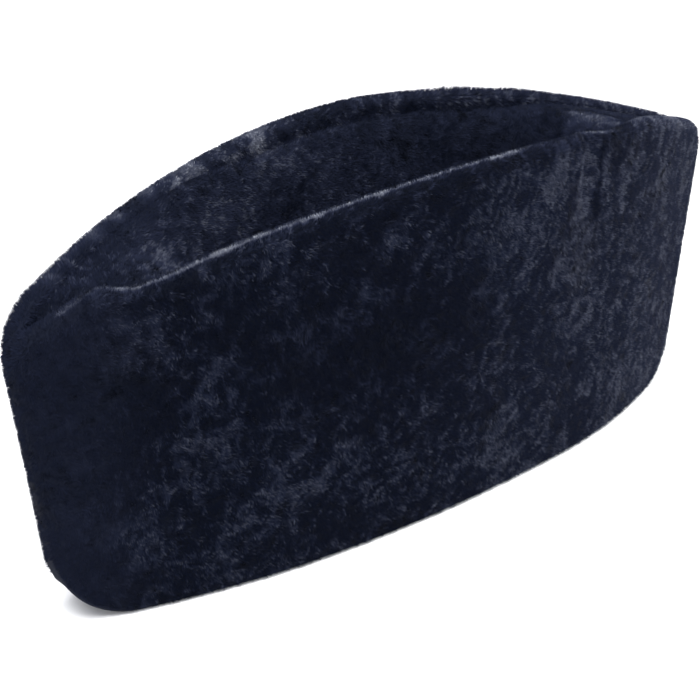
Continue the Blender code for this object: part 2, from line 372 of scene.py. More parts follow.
def capped_tube(around, length):
    """Faces of a grid whose rows close into a tube, with both open ends capped by strips of quads."""
    row, column = np.meshgrid(np.arange(around), np.arange(length - 1), indexing="ij")
    after = (row + 1) % around
    corners = [row * length + column, row * length + column + 1]
    corners += [after * length + column + 1, after * length + column]
    faces = np.stack(corners, axis=2).reshape(-1, 4)
    low = np.arange(around // 2 - 1)
    high = around - 1 - low
    left = np.stack([low, low + 1, high - 1, high], axis=1) * length
    right = np.stack([high, high - 1, low + 1, low], axis=1) * length + length - 1
    return np.concatenate([faces, left, right])


crown_pelt = smooth_piece("crown_pelt", crown_grid, capped_tube(*crown_grid.shape[:2]))
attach(crown_pelt, "root")
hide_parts("crown")
print("crown pelt:", len(crown_pelt.data.polygons), "faces")

# %% [markdown]
# ## Where the fur grows
#
# Fur could be Blender's hair system, but an exported model loses it, so each blade of wool is a real,
# very slim face. They are planted evenly: a face of the pelt is drawn by its area, then a place on it,
# and the place keeps its normal and its two directions along the pelt.

# %% Scatter roots over a grid


def unrolled(grid, axis):
    """How far each line of the grid lies from the first: the sum of the mean steps between the lines."""
    steps = np.linalg.norm(np.diff(grid, axis=axis), axis=2).mean(axis=1 - axis)
    return np.concatenate([[0.0], np.cumsum(steps)])


def scatter(grid, count, rng):
    """Random places on a grid of points, even by area, with the frame of the surface at each one.

    A face's share is its area, |d1 x d2|. In it a place is (1-a)(1-b) p00 + a(1-b) p10 + and so on,
    for random a and b. The place is also given flat, as on the unrolled pelt.
    """
    across, along = np.diff(grid, axis=1)[:-1], np.diff(grid, axis=0)[:, :-1]
    area = np.linalg.norm(np.cross(across, along), axis=2).ravel()
    face = rng.choice(len(area), count, p=area / area.sum())
    row, column = np.divmod(face, grid.shape[1] - 1)
    a, b = rng.random((2, count, 1))
    p00, p01 = grid[row, column], grid[row, column + 1]
    p10, p11 = grid[row + 1, column], grid[row + 1, column + 1]
    place = (1 - a) * ((1 - b) * p00 + b * p01) + a * ((1 - b) * p10 + b * p11)
    tangent = (1 - a) * (p01 - p00) + a * (p11 - p10)
    normal = np.cross(tangent, (1 - b) * (p10 - p00) + b * (p11 - p01))
    tangent = tangent / np.linalg.norm(tangent, axis=1, keepdims=True)
    normal = normal / np.linalg.norm(normal, axis=1, keepdims=True)
    flat = np.stack([np.interp(column + b[:, 0], np.arange(grid.shape[1]), unrolled(grid, 1)),
                     np.interp(row + a[:, 0], np.arange(grid.shape[0]), unrolled(grid, 0))], axis=1)
    return place, normal, tangent, np.cross(normal, tangent), flat, area.sum()


print("the outer wall, unrolled:", round(unrolled(band_grid[:WALL_ROWS], 1)[-1], 3), "m round")

# %% [markdown]
# ## How the nap lies
#
# Sheared fur that has been packed and handled looks crushed: in patches of a few millimetres the
# nap leans another way and catches the light. A smooth random field gives such patches. It is a sum
# of cosine waves that run in all directions, so it has no grid and no seam, and it is the same on
# every run because its generator has a fixed seed.

# %% A smooth random field
WAVES = 24


def cloud(places, size, seed):
    """A smooth field of about unit spread: sqrt(2/n) times the sum of n waves cos(k . p + phase).

    The length of each k lies between 0.6 and 1.5 times 2 pi / size.
    """
    rng = np.random.default_rng(seed)
    direction = rng.normal(size=(3, WAVES))
    direction /= np.linalg.norm(direction, axis=0)
    waves = direction * rng.uniform(0.6, 1.5, WAVES) * 2.0 * np.pi / size
    phase = rng.uniform(0.0, 2.0 * np.pi, WAVES)
    return np.sqrt(2.0 / WAVES) * np.cos(places @ waves + phase).sum(axis=1)


print("spread of a cloud on the band:", round(float(cloud(band_grid.reshape(-1, 3), 0.01, 1).std()), 2))

# %% [markdown]
# ## Crushed patches
#
# Crushed fur isn't one size of patch. Broad areas hold blotches, and blotches hold flecks, down to the
# single bunch of wool. Clouds of five sizes are added up for that, in a space that another cloud
# warps, so that the patches get torn edges as if a thumb had pushed them. Towards the right end they
# are drawn out upwards.

# %% Clouds of five sizes
PATCH_SIZES, PATCH_SHARES = np.array([30, 11, 4.5, 1.9, 0.9]) * MILLIMETRE, [0.40, 0.50, 0.55, 0.50, 0.45]
# How far a cloud of 9 mm warps the places, and how much taller the patches get across this stretch of x.
WARP, WARP_SIZE = 1.6 * MILLIMETRE, 9 * MILLIMETRE
DRAWN_OUT, DRAWN_OUT_STRETCH = 0.50, (-0.020, 0.050)


def patches(places, lift):
    """How crushed the nap is, 0 to 1: the S curve of the weighted sum of the clouds plus the lift."""
    drift = np.stack([cloud(places, WARP_SIZE, seed) for seed in (2, 3, 4)], axis=1)
    warped = places + WARP * drift
    warped[:, 2] *= 1.0 - DRAWN_OUT * ease(places[:, 0], *DRAWN_OUT_STRETCH)
    sized = enumerate(zip(PATCH_SHARES, PATCH_SIZES))
    field = sum(share * cloud(warped, size, 10 + number) for number, (share, size) in sized)
    return ease(field + lift, 0.0, 1.8)


print("share of the band that is crushed:", round(float(patches(band_grid.reshape(-1, 3), 0.0).mean()), 2))

# %% [markdown]
# ## Light along the front rim
#
# On the rolled rim the nap bends over and shows its sides to the light, which draws a thin pale line
# along the front. On the real hat it is a thread at the left end, swells and thins like a brush
# stroke, and dies out by the middle. The line could be left to the lamps, but the locks there are
# ironed flatter than blades can be, so it is laid into the wool as a field that the material reads.

# %% Light on the rim
# Stretches of x where the line starts, grows from a thread to full width, brightens, and dies out.
LINE_START, LINE_WIDENS = (-0.150, -0.144), (-0.132, -0.122)
LINE_BRIGHTENS, LINE_DIES = (-0.095, -0.045), (-0.014, 0.034)
# Place and spread of two more glints, one beside the hump and one over the dent.
HUMP_GLINT, DENT_GLINT = (-0.1275, 0.0022), (0.055, 0.009)


def rim_light(places, below):
    """Light on the tips along the front rim: an uneven bell across the crest, broken up by two clouds.

    Its width and its brightness each are a base and a share of the S curve of 30 mm and 5 mm clouds.
    """
    x = places[:, 0]
    thin = 1.0 - ease(x, *LINE_WIDENS)
    uneven = cloud(places, 30 * MILLIMETRE, 71) + 0.6 * cloud(places, 5 * MILLIMETRE, 72)
    width = (0.11 + 0.13 * ease(uneven, -0.6, 1.6) * (1.0 - thin)) * MILLIMETRE
    shine = 0.93 + 0.60 * ease(uneven, -1.0, 1.4) + 0.20 * ease(x, *LINE_BRIGHTENS)
    shine = shine * (1.0 - ease(x, *LINE_DIES)) * (1.0 - 0.60 * thin)
    shine = shine * ease(x, *LINE_START)
    return (shine + 0.3 * bell(x, *HUMP_GLINT) + 0.9 * bell(x, *DENT_GLINT)) * bell(below, 0.0, width)


sample = np.array([[x, -0.02, 0.13] for x in (-0.14, -0.10, -0.05, 0.02)])
print("light on the crest from left to right:", rim_light(sample, np.zeros(4)).round(2).tolist())

# %% [markdown]
# ## Shade in the dent
#
# Light hardly reaches into the pressed fold, and there the nap closes up and looks black. The fold's own
# depth gives part of that shade. The rest is painted shade: a dark line that bends a little at its foot, a
# wider dark foot and a little shade in the hollow beside it, together with a painted highlight on the left
# side of the fold, where the nap opens.

# %% Shade of the fold
# The line's place, how far its foot leans to the left, and the heights where it bends and fades in.
FOLD_PLACE, FOLD_LEAN, FOLD_BEND, FOLD_FADE = 0.0545, 0.0035, (0.098, 0.116), (0.098, 0.104)
# Place and spread of the foot, along x and in height, and of the hollow's shade.
FOOT_ALONG, FOOT_UP = (0.0515, 2.6 * MILLIMETRE), (0.1050, 3.8 * MILLIMETRE)
HOLLOW_ALONG, HOLLOW_UP = (HOLLOW_PLACE, 0.006), (0.122, 0.009)
# How far the painted highlight on the edge lies from the line and from the dent, and the heights where it
# fades in.
EDGE_FROM_FOLD, EDGE_FROM_DENT, EDGE_FADE = 0.0026, 0.0036, (0.100, 0.112)


def fold_shade(x, z):
    """Painted shade in the dent: the bells of the line, the foot and the hollow, less the painted highlight,
    the bells of the edge.
    """
    middle = FOLD_PLACE - FOLD_LEAN * (1.0 - ease(z, *FOLD_BEND))
    line = bell(x, middle, 0.9 * MILLIMETRE) * ease(z, *FOLD_FADE)
    foot = bell(x, *FOOT_ALONG) * bell(z, *FOOT_UP)
    edge = bell(x, middle - EDGE_FROM_FOLD, 1.1 * MILLIMETRE)
    edge = edge + 0.5 * bell(x, DENT_PLACE - EDGE_FROM_DENT, 1.9 * MILLIMETRE)
    edge = edge * ease(z, *EDGE_FADE)
    hollow = bell(x, *HOLLOW_ALONG) * bell(z, *HOLLOW_UP)
    return 0.44 * line + 0.9 * foot + 0.12 * hollow - 0.14 * edge


print("shade in the fold and beside it:", [round(float(fold_shade(x, 0.120)), 2) for x in (0.0545, 0.0700)])

# %% [markdown]
# ## Light and shade of the band
#
# Light and shade are painted into the band's wool. The front's left end is calm and a little lighter, a belt
# across its middle is painted darkest, and towards the right end, where the wall is seen at a slant, it gets
# a painted sheen while the crushed patches grow. Under the crest of the right half runs a band of painted
# shade. The back rim's left part shows the long tips of its nap, in streaks of painted light. Each of these
# is a place along the hat where a share of painted light and shade is added, so the pelt and the wool read
# one function and always agree.

# %% Tone of the band
# The tone goes from 0 to this value.
TOP_TONE = 1.5
# Stretches of x where the left end stops, and where the right half and the right end start.
LEFT_END, RIGHT_HALF, RIGHT_END = (-0.150, -0.112), (-0.040, 0.045), (0.070, 0.120)
# Place and spread, along x and in height, of the belt of painted shade and of the crushed area low at the
# left.
BELT_ALONG, BELT_UP = (-0.050, 0.050), (0.080, 0.020)
LOW_LEFT_ALONG, LOW_LEFT_UP = (-0.095, 0.040), (0.035, 0.030)
# Stretches of x where the band of painted shade under the crest starts and ends, and the painted light of
# the back's fringe too.
SHADED_FROM, SHADED_TO = (-0.045, 0.000), (0.060, 0.085)
FRINGE_FROM, FRINGE_TO = (-0.150, -0.105), (-0.070, -0.010)
# On the back's rim: place and spread of two bumps of longer fur, and the stretches of x where the
# longer fur of the left end stops and the shorter fur starts and ends.
LONG_BUMP, SMALL_BUMP, LONG_END = (0.045, 0.012), (0.076, 0.012), (-0.135, -0.110)
SHORT_FROM, SHORT_TO = (-0.130, -0.100), (0.005, 0.025)


def crest_tone(places, below, front, end):
    """Painted light at the rim: in front the light line less the painted shade of the crest's band and the
    fold, and on the back the streaked painted light of the fringe.
    """
    x, z = places[:, 0], places[:, 2]
    crest = 1.0 - ease(below, 0.001, 0.006)
    # A band of painted shade along the crest of the right half, turning to painted light at the right end.
    band = 0.30 * ease(x, *SHADED_FROM) * (1.0 - ease(x, *SHADED_TO)) * crest - 0.15 * end * crest
    # Streaks of painted light on the tips of the back rim's left part.
    streaks = 0.25 + 0.75 * ease(cloud(places, 16 * MILLIMETRE, 73), -0.9, 1.1)
    fringe_light = 0.80 * streaks * ease(x, *FRINGE_FROM) * (1.0 - ease(x, *FRINGE_TO))
    fringe_light = np.where(front, 0.0, fringe_light * (1.0 - ease(below, 0.002, 0.012)))
    shine = rim_light(places, below)
    return np.where(front, shine - band - fold_shade(x, z), fringe_light), shine


def nap_length(x, below, front, shine):
    """Length of the nap against the usual one: short in the light line, and longer on parts of the back.

    On the back, two bells at the right and the far left end are longer, and the left half is shorter.
    """
    back = 0.9 * bell(x, *LONG_BUMP) + 0.5 * bell(x, *SMALL_BUMP) + 0.5 * (1.0 - ease(x, *LONG_END))
    back = back - 0.35 * ease(x, *SHORT_FROM) * (1.0 - ease(x, *SHORT_TO))
    back = back * (1.0 - ease(below, 0.001, 0.008))
    return 1.0 + np.where(front, -0.35 * np.minimum(shine, 1.0), back)


def band_tone(places):
    """Tone of the band's wool at some places, how crushed it is, and the length of its nap.

    The tone is a sum: each area's share of painted light and shade, its part of the crushed patches, and the
    painted light and shade at the rim.
    """
    x, y, z = places.T
    front = y < MID_Y
    below = rim_height(x, np.where(front, FRONT, BACK)) - PELT_DEPTH - z
    left, right, end = 1.0 - ease(x, *LEFT_END), ease(x, *RIGHT_HALF), ease(x, *RIGHT_END)
    shaded_belt = bell(z, *BELT_UP) * bell(x, *BELT_ALONG)
    low_left = bell(z, *LOW_LEFT_UP) * bell(x, *LOW_LEFT_ALONG)
    crushed = patches(places, 0.60 * right + 0.35 * low_left - 0.35 * shaded_belt)
    # The left end is painted lighter, the right half and the right end get a painted sheen where the wall is
    # seen at a slant, and the belt is painted darker.
    tone = 0.02 + 0.25 * left + 0.16 * right + 0.17 * end - 0.03 * shaded_belt
    tone = tone + (0.60 - 0.54 * left - 0.24 * shaded_belt - 0.06 * right - 0.14 * end) * crushed
    crest, shine = crest_tone(places, below, front, end)
    return tone + crest, crushed, nap_length(x, below, front, shine)


band_shades = np.clip(band_tone(band_grid.reshape(-1, 3))[0], 0.0, TOP_TONE)
print("mean tone of the band:", round(float(band_shades.mean()), 2))

# %% [markdown]
# ## Light and shade of the crown
#
# In the valley the wool is dark, since the walls take most of the light from it, and painted light lifts its
# lowest part a little. Three blotches on its left side are crushed and painted lighter, and the lump of the
# saddle at the right end gets a pale painted highlight with a ring of painted shade round it. They could be
# painted by hand, but a bell at a named place moves with one number.

# %% Tone of the crown
# Share, place and spread along x, and place and spread in height, of each blotch of painted light.
BLOTCHES = [(1.0, (-0.070, 0.016), (0.112, 0.007)), (0.8, (-0.103, 0.009), (0.110, 0.008)),
            (0.5, (-0.040, 0.015), (0.122, 0.005))]
# The middle, half length and half width of the painted highlight on the saddle's lump.
LUMP_X, LUMP_Y, LUMP_LONG, LUMP_WIDE = 0.0820, -0.0062, 0.0085, 0.0102
# The stretch of x where the right half gets calm, and the heights where the painted light of the lowest part
# fades out.
CALM, DEEP = (-0.010, 0.030), (0.088, 0.108)


def crown_tone(places):
    """The same for the crown. The lump's painted highlight is exp(-r^3) for its distance r, with an uneven
    edge, inside a ring of painted shade.
    """
    x, y, z = places.T
    light = sum(share * bell(x, *along) * bell(z, *up) for share, along, up in BLOTCHES)
    calm = ease(x, *CALM)
    crushed = patches(places, 0.05 + 0.90 * light - 0.15 * calm)
    from_lump = np.hypot((x - LUMP_X) / LUMP_LONG, (y - LUMP_Y) / LUMP_WIDE)
    from_lump = from_lump + 0.14 * cloud(places, 9 * MILLIMETRE, 81)
    # A painted highlight on the saddle's lump, and at r = 1.5 a ring of painted shade.
    lump_highlight = np.exp(-(from_lump**3)) * (0.38 + 0.26 * patches(places, 0.8))
    tone = 0.11 + 0.34 * light + (0.44 - 0.18 * calm) * crushed + lump_highlight - 0.15 * bell(from_lump, 1.5, 0.3)
    # Painted light that lifts the lowest part of the valley.
    tone = tone + 0.10 * (1.0 - ease(z, *DEEP))
    return tone, 0.6 * crushed, np.ones(len(places))


crown_shades = np.clip(crown_tone(crown_grid.reshape(-1, 3))[0], 0.0, TOP_TONE)
print("mean tone of the crown:", round(float(crown_shades.mean()), 2))

# %% [markdown]
# ## Bunches
#
# Wool fibres don't stand alone. They draw together in small bunches, and each bunch has its own shade
# because it leans its own way. Blender's hair has a clump setting for this. For faces, space is cut
# into cells of 0.9 mm, warped so that no row of them shows, and every root looks up the centre and the
# random shade of its cell.

# %% Bunches
BUNCH = 0.9 * MILLIMETRE
HASH_STEPS, HASH_STRETCH = np.array([12.9898, 78.233, 37.719]), 43758.5453


def hashed(cells, turn):
    """A number from 0 to 1 for each cell: the fraction of a big number times sin(steps . cell + turn)."""
    return np.modf(np.abs(HASH_STRETCH * np.sin(cells @ HASH_STEPS + turn)))[0]


def bunches(places):
    """The centre of the bunch that each place belongs to, and the bunch's own random shade."""
    drift = np.stack([cloud(places, 4 * MILLIMETRE, seed) for seed in (61, 62, 63)], axis=1)
    cells = np.floor((places + 0.5 * MILLIMETRE * drift) / BUNCH)
    jitter = np.stack([hashed(cells, turn) for turn in (0.0, 1.7, 3.1)], axis=1)
    return (cells + 0.25 + 0.5 * jitter) * BUNCH, hashed(cells, 5.3)


print("mean shade of the bunches:", round(float(bunches(band_grid.reshape(-1, 3))[1].mean()), 2))

# %% [markdown]
# ## The blades
#
# A blade is one slim face: two corners of its foot lie on the pelt, and it runs to one tip. A real
# fibre is only about 0.03 mm thick, so a blade of 0.22 mm stands for a lock of some tens of fibres,
# which is as coarse as it needs to be to show. The shears cut all of them to one height, so the tips
# stand in one level skin, and a blade that leans more is longer. The nap was combed one way, to the
# right, backwards and down, and turns a little in broad and in small swirls.

# %% Direction and reach of the blades
BLADE_HALF_WIDTH, NAP_HEIGHT = 0.11 * MILLIMETRE, 1.1 * MILLIMETRE
COMBED = np.array([0.75, 0.45, -0.55])
# Degrees that a blade leans, and that a crushed one leans more.
LEAN, CRUSHED_LEAN = 22.0, 14.0
# Shares of the height: what crushing takes off, how uneven the shears are, and the pull to the bunch.
CRUSHED_LOSS, SHEARS_UNEVEN, BUNCH_PULL = 0.18, 0.08, 0.22
# How far a blade is turned about its own length at most, in radians.
BLADE_ROLL = 0.22


def unit(vectors):
    """Each vector divided by its length."""
    return vectors / np.linalg.norm(vectors, axis=1, keepdims=True)


def nap_direction(root, normal, rng):
    """The combed direction laid on the pelt, c - n (n . c), then turned by t: cos t c + sin t (n x c)."""
    turn = 0.35 * cloud(root, 34 * MILLIMETRE, 17) + 0.40 * cloud(root, 6 * MILLIMETRE, 20)
    turn = turn + 0.35 * rng.normal(size=len(root))
    comb = unit(COMBED - normal * (normal @ COMBED)[:, None])
    return np.cos(turn)[:, None] * comb + np.sin(turn)[:, None] * np.cross(normal, comb)


def blade_reach(root, normal, centre, crushed, length, rng):
    """From root to tip: h (n + tan(lean) f) + a pull to the bunch's centre, with f the nap's direction."""
    nap = nap_direction(root, normal, rng)
    spread = np.tan(np.radians(LEAN + CRUSHED_LEAN * crushed))[:, None]
    pull = (centre - root) / BUNCH
    pull = pull - normal * np.sum(pull * normal, axis=1, keepdims=True)
    uneven = SHEARS_UNEVEN * length * rng.normal(size=len(root))
    height = NAP_HEIGHT * (length - CRUSHED_LOSS * crushed + uneven)[:, None]
    return height * (normal + spread * nap) + BUNCH_PULL * NAP_HEIGHT * pull


def blade_sides(reach, normal, rng):
    """A blade's sideways direction and its facing, both turned by a random roll about its length.

    With s across it and a away from it, they are cos(roll) s + sin(roll) a and cos(roll) a - sin(roll) s.
    """
    across = unit(np.cross(reach, normal))
    away = np.cross(across, unit(reach))
    roll = rng.uniform(-BLADE_ROLL, BLADE_ROLL, (len(reach), 1))
    return np.cos(roll) * across + np.sin(roll) * away, np.cos(roll) * away - np.sin(roll) * across


print("a blade is", round(2000 * BLADE_HALF_WIDTH, 2), "mm wide and stands", 1000 * NAP_HEIGHT, "mm high")

# %% [markdown]
# ## A mesh of blades
#
# So many faces would take minutes to add one by one. So each piece gets its corners as one array, which
# foreach_set copies into the mesh. Every corner keeps two numbers for the material: the tone of the wool,
# with the light and shade that are painted into it, and "tip", 0 at the foot and 1 at the tip. The blade's
# own facing is blended with the pelt's, so that the light models the hat and not single blades.

# %% Put the blades into a mesh
PIECE_BLADES = 180000
# How far tips stay above the floor, and the free edge of the map round the unrolled pelt.
FLOOR_CLEARANCE, MAP_MARGIN = 0.05 * MILLIMETRE, 4 * MILLIMETRE
# How much the shade differs between bunches, how much more where crushed, and from blade to blade.
BUNCH_CONTRAST, CRUSHED_CONTRAST, BLADE_CONTRAST = 0.35, 0.40, 0.03
# The pelt's share in a blade's facing, against 1 of its own.
PELT_SHARE = 0.9


def blade_mesh(name, points, facing, tone_and_painted_light, flat_place):
    """A mesh of single triangles, three new corners for each, with normals, two fields and a map."""
    count = len(points)
    mesh = bpy.data.meshes.new(name)
    mesh.vertices.add(3 * count)
    mesh.vertices.foreach_set("co", points.astype(np.float32).ravel())
    mesh.loops.add(3 * count)
    mesh.loops.foreach_set("vertex_index", np.arange(3 * count, dtype=np.int32))
    mesh.polygons.add(count)
    mesh.polygons.foreach_set("loop_start", np.arange(0, 3 * count, 3, dtype=np.int32))
    mesh.update(calc_edges=True)
    mesh.normals_split_custom_set_from_vertices(np.repeat(facing, 3, axis=0))
    # The tone holds the crushed patches of the wool and the light and shade painted into it.
    tone_and_painted_light = np.repeat(np.clip(tone_and_painted_light, 0.0, TOP_TONE), 3)
    fields = {"tone_and_painted_light": tone_and_painted_light, "tip": np.tile([0.0, 0.0, 1.0], count)}
    for label, values in fields.items():
        mesh.attributes.new(label, "FLOAT", "POINT").data.foreach_set("value", values.astype(np.float32))
    mesh.uv_layers.new(name="OFBake").data.foreach_set("uv", flat_place.astype(np.float32).ravel())
    return mesh


def blades(name, surface, tone_of, seed):
    """Blades on a grid of points: feet at root - w s and root + w s, and a tip at root + reach.

    Its tone is tone (1 + (bunch shade - 1/2) contrast) + a little noise. The map lays each corner at
    its place on the unrolled pelt.
    """
    rng = np.random.default_rng(seed)
    root, normal, tangent, rising, flat, area = scatter(surface, PIECE_BLADES, rng)
    centre, shade = bunches(root)
    tone, crushed, length = tone_of(root)
    tone_and_painted_light = tone * (1.0 + (shade - 0.5) * (BUNCH_CONTRAST + CRUSHED_CONTRAST * crushed))
    tone_and_painted_light = tone_and_painted_light + BLADE_CONTRAST * rng.normal(size=PIECE_BLADES)
    reach = blade_reach(root, normal, centre, crushed, length, rng)
    side, own = blade_sides(reach, normal, rng)
    corners = np.stack([-BLADE_HALF_WIDTH * side, BLADE_HALF_WIDTH * side, reach], axis=1)
    points = root[:, None] + corners
    offset = points - root[:, None]
    right, up = np.sum(offset * tangent[:, None], axis=2), np.sum(offset * rising[:, None], axis=2)
    place = (flat[:, None] + np.stack([right, up], axis=2) + MAP_MARGIN) / (flat.max() + 2.0 * MAP_MARGIN)
    points[:, :, 2] = np.maximum(points[:, :, 2], FLOOR_CLEARANCE)
    piece = new_piece(name, blade_mesh(name, points, unit(own + PELT_SHARE * normal), tone_and_painted_light, place))
    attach(piece, "root")
    print(name, PIECE_BLADES, "faces on", round(area * 1e6), "square millimetres")
    return piece


# %% [markdown]
# ## Fur on the band
#
# The nap covers the outside and rolls over the rim to just inside it, where the crown is sewn in. An
# exported piece may hold 200,000 triangles, so the ring is cut into four stretches of 180,000 blades,
# about eight to a square millimetre. They meet edge to edge, and as every field is a function of the
# place alone, no seam shows between them.

# %% Fur on the band
RIM_INSIDE_ROWS, FIRST_BAND_SEED = 2, 40
fur_rows = WALL_ROWS + RIM_ROWS + RIM_INSIDE_ROWS
outside = np.concatenate([band_grid[:fur_rows], band_grid[:fur_rows, :1]], axis=1)
quarter = outside.shape[1] // 4
band_fur = []
for index, name in enumerate(["front_left", "front_right", "back_right", "back_left"]):
    last = quarter * (index + 1) + 1 if index < 3 else outside.shape[1]
    stretch = outside[:, quarter * index:last]
    band_fur.append(blades("band_fur_" + name, stretch, band_tone, FIRST_BAND_SEED + index))

# %% [markdown]
# ## Fur on the crown
#
# The same wool stands on the upper sheet of the crown, in one piece. The sheet lies 1 mm deeper than
# the solid's face, so that the tips of the nap end about where the solid does.

# %% Fur on the crown
CROWN_SEED = 50
crown_fur = blades("crown_fur", upper.transpose(1, 0, 2), crown_tone, CROWN_SEED)

# %% [markdown]
# ## Tone of the pelts
#
# Between the blades one looks down on the bed of the fur. If it were plain black, each gap would be a dark
# speck in a light patch. So the pelts carry the same tone, painted light and shade included, and only their
# material paints it darker, as shade.

# %% Tone of the pelts
for piece, shades in ((band_pelt, band_shades), (crown_pelt, crown_shades)):
    piece.data.attributes.new("tone_and_painted_light", "FLOAT", "POINT").data.foreach_set("value", shades.astype(np.float32))
    print(piece.name, "tone from", round(float(shades.min()), 2), "to", round(float(shades.max()), 2))

# %% [markdown]
# ## Colours and nodes
#
# Colours are easiest to pick as the hex values of a screen, but a renderer works in linear light. One
# function turns the first into the second. Another adds a node, sets it up and links it, so that each
# material below reads as a short list of steps.

# %% Helpers for materials


def linear(hex_colour):
    """The linear RGBA of an sRGB hex colour: c / 12.92 when dark, else ((c + 0.055) / 1.055) ** 2.4."""
    parts = np.array([int(hex_colour[i:i + 2], 16) for i in (1, 3, 5)]) / 255.0
    light = np.where(parts <= 0.04045, parts / 12.92, ((parts + 0.055) / 1.055) ** 2.4)
    return (*light.tolist(), 1.0)


def add_node(tree, kind, settings=None, values=None, links=None):
    """A new node: settings are its own, values fill its sockets, and links feed sockets from others."""
    node = tree.nodes.new(kind)
    for name, setting in (settings or {}).items():
        setattr(node, name, setting)
    for socket, value in (values or {}).items():
        node.inputs[socket].default_value = value
    for socket, source in (links or {}).items():
        tree.links.new(source, node.inputs[socket])
    return node


def new_material(name):
    """An empty node material and its Principled shader."""
    material = bpy.data.materials.new(name)
    material.use_nodes = True
    return material, material.node_tree, material.node_tree.nodes["Principled BSDF"]


print("half grey on a screen, #808080, is", round(linear("#808080")[0], 3), "in linear light")

# %% [markdown]
# ## The wool's colours
#
# The wool is black, dyed through with a blue cast. What the eye sees is how much light comes back out of it:
# almost none from the feet of the locks, a dark slate from their sides, and a pale cool grey from tips that
# lie flat to the light. A picture of fur could give that, but it would stretch where the pelt bends. So one
# ramp holds four tints of painted light and shade, and both materials of the fur read it at a reach from 0
# to 1, which is the tone of the wool, with its painted light and shade, times how far up the lock one looks,
# so that the feet are painted in shade.

# %% The ramp of the wool
# The ramp's ends: the wool in painted shade at the feet, and in painted light on the tips.
WOOL_TINTS = [(0.25, "#181c2a"), (0.67, "#4d505a")]
FEET_TINT, TIPS_TINT = "#060912", "#8d9096"


def wool_colour(tree, height):
    """The wool's tint at its tone, painted light and shade included, times height, a node whose result is a
    share of 1 / the top tone.
    """
    tone_and_painted_light = add_node(tree, "ShaderNodeAttribute", {"attribute_name": "tone_and_painted_light"})
    reach = add_node(tree, "ShaderNodeMath", {"operation": "MULTIPLY"},
                     links={0: tone_and_painted_light.outputs["Fac"], 1: height.outputs["Result"]})
    ramp = add_node(tree, "ShaderNodeValToRGB", links={"Fac": reach.outputs[0]})
    ramp.color_ramp.elements[0].color = linear(FEET_TINT)
    ramp.color_ramp.elements[1].color = linear(TIPS_TINT)
    for position, tint in WOOL_TINTS:
        ramp.color_ramp.elements.new(position).color = linear(tint)
    return ramp.outputs["Color"]


print("tints of the wool:", FEET_TINT, *[tint for _, tint in WOOL_TINTS], TIPS_TINT)

# %% [markdown]
# ## Sheared wool
#
# The locks are the wool of a dressed sheepskin, dyed black, combed, sheared to one length and ironed.
# Its fibres are keratin, with an IOR of about 1.55, so the shader keeps its usual 1.5, and it is no
# metal. One fibre is smooth and glossy, but a lock is a bundle of them with gaps that swallow light.
# That gives a soft and weak glance, cool from the blue dye: roughness 0.5 and a low specular level.

# %% Material of the locks


def sheared_wool(name):
    """Black dyed sheared wool: nearly black in the painted shade at the foot, slate to grey where the tips
    catch painted light.
    """
    material, tree, shader = new_material(name)
    tip = add_node(tree, "ShaderNodeAttribute", {"attribute_name": "tip"})
    # The foot of a lock gets 0.55 of the reach of its tip, as painted shade.
    shares = {"To Min": 0.55 / TOP_TONE, "To Max": 1.0 / TOP_TONE}
    height = add_node(tree, "ShaderNodeMapRange", values=shares, links={"Value": tip.outputs["Fac"]})
    tree.links.new(wool_colour(tree, height), shader.inputs["Base Color"])
    shader.inputs["Roughness"].default_value = 0.5
    shader.inputs["Specular IOR Level"].default_value = 0.05
    shader.inputs["Specular Tint"].default_value = linear("#b4c0ff")
    return material


wool = sheared_wool("sheared wool locks")
for piece in (*band_fur, crown_fur):
    piece.data.materials.append(wool)
print(wool.name, "on", len(band_fur) + 1, "pieces")

# %% [markdown]
# ## The bed of the fur
#
# Between the locks one sees the same wool, deeper down. It is dyed, uncombed underwool, matt because light
# is scattered many times before it comes out, and it is painted darker, at 0.3 to 0.9 of its tone against
# 0.55 to 1 on the locks, as the shade down between them. Its grain is that of the bunches, about 1 mm, and
# as Object coordinates are metres, a scale of 1 / 0.0011 draws grains of 1.1 mm.

# %% Material of the bed
WOOL_GRAIN, BED_BUMP_DEPTH = 1.1 * MILLIMETRE, 0.2 * MILLIMETRE


def fur_roots(name):
    """The bed of the fur: the wool's tints at 0.3 to 0.9 of its tone, painted darker as shade, after a grain
    of 1.1 mm.
    """
    material, tree, shader = new_material(name)
    place = add_node(tree, "ShaderNodeTexCoord")
    grain = add_node(tree, "ShaderNodeTexNoise", values={"Scale": 1.0 / WOOL_GRAIN, "Detail": 3.0},
                     links={"Vector": place.outputs["Object"]})
    shares = {"To Min": 0.30 / TOP_TONE, "To Max": 0.90 / TOP_TONE}
    depth = add_node(tree, "ShaderNodeMapRange", values=shares, links={"Value": grain.outputs["Fac"]})
    bump = add_node(tree, "ShaderNodeBump", values={"Strength": 0.3, "Distance": BED_BUMP_DEPTH},
                    links={"Height": grain.outputs["Fac"]})
    tree.links.new(wool_colour(tree, depth), shader.inputs["Base Color"])
    tree.links.new(bump.outputs["Normal"], shader.inputs["Normal"])
    shader.inputs["Roughness"].default_value = 0.9
    shader.inputs["Specular IOR Level"].default_value = 0.06
    return material


bed = fur_roots("sheared wool bed")
print(bed.name, "has a grain of", round(1000 * WOOL_GRAIN, 1), "mm")

# %% [markdown]
# ## The flesh side
#
# Inside the hat the pelt shows its flesh side: suede, a skin that was tanned, dyed nearly black and
# buffed with grit. Buffing raises a fuzz of skin fibres, which looks dry and has no gloss, hence the
# high roughness. That fuzz is about 0.1 mm, too fine to show, so it is drawn six times as coarse.

# %% Material of the flesh side
SUEDE_GRAIN, SUEDE_BUMP_DEPTH = 0.6 * MILLIMETRE, 0.3 * MILLIMETRE


